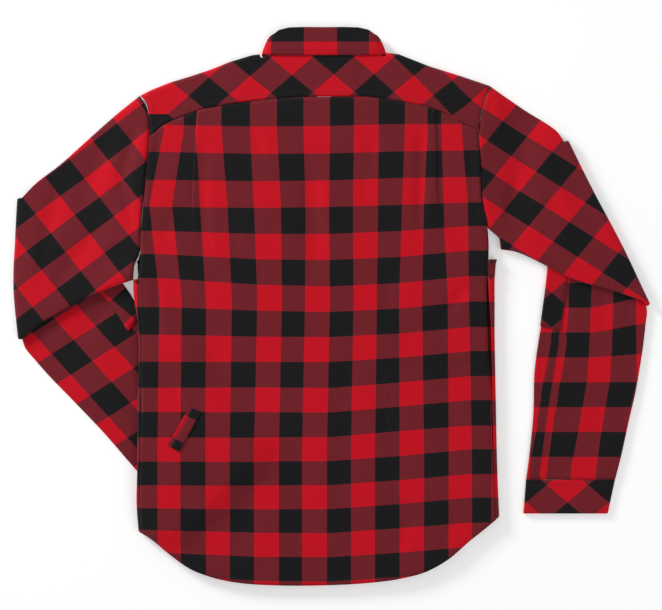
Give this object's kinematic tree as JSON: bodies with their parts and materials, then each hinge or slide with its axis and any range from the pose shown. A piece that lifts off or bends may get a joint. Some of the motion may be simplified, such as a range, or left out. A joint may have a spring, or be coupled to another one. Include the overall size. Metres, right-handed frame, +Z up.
{
  "type": "riding shirt",
  "caption": "Long-sleeved checked riding shirt laid face down, sleeves folded under at the elbows, with bias yoke, shirt-tail hem, rear side-entry pocket, welt and vent eyelets.",
  "frame": {"origin": "middle of the shirt's footprint, on the surface it lies on", "axes": "+X to the wearer's right as seen from behind, +Y from hem to neck, +Z up out of the back"},
  "size_m": [0.9558, 0.837, 0.0214],
  "materials": {
    "check_cloth": "brushed cotton twill in a red and black buffalo check",
    "button": "dark four-hole resin",
    "eyelet_metal": "black-lacquered brass"
  },
  "bodies": {
    "root": {"back_panel": "check_cloth", "front_left": "check_cloth", "front_right": "check_cloth", "yoke": "check_cloth", "sleeve_left": "check_cloth", "sleeve_right": "check_cloth", "cuff_left": "check_cloth", "cuff_right": "check_cloth", "elbow_patch_left": "check_cloth", "elbow_patch_right": "check_cloth", "collar_leaf": "check_cloth", "collar_stand": "check_cloth", "welt": "check_cloth", "rear_pocket": "check_cloth", "button_1": "button", "button_2": "button", "button_3": "button", "button_4": "button", "button_5": "button", "button_6": "button", "button_7": "button", "cuff_button_left": "button", "cuff_button_right": "button", "eyelet_left_upper": "eyelet_metal", "eyelet_left_lower": "eyelet_metal", "eyelet_right_upper": "eyelet_metal", "eyelet_right_lower": "eyelet_metal"}
  },
  "joints": []
}
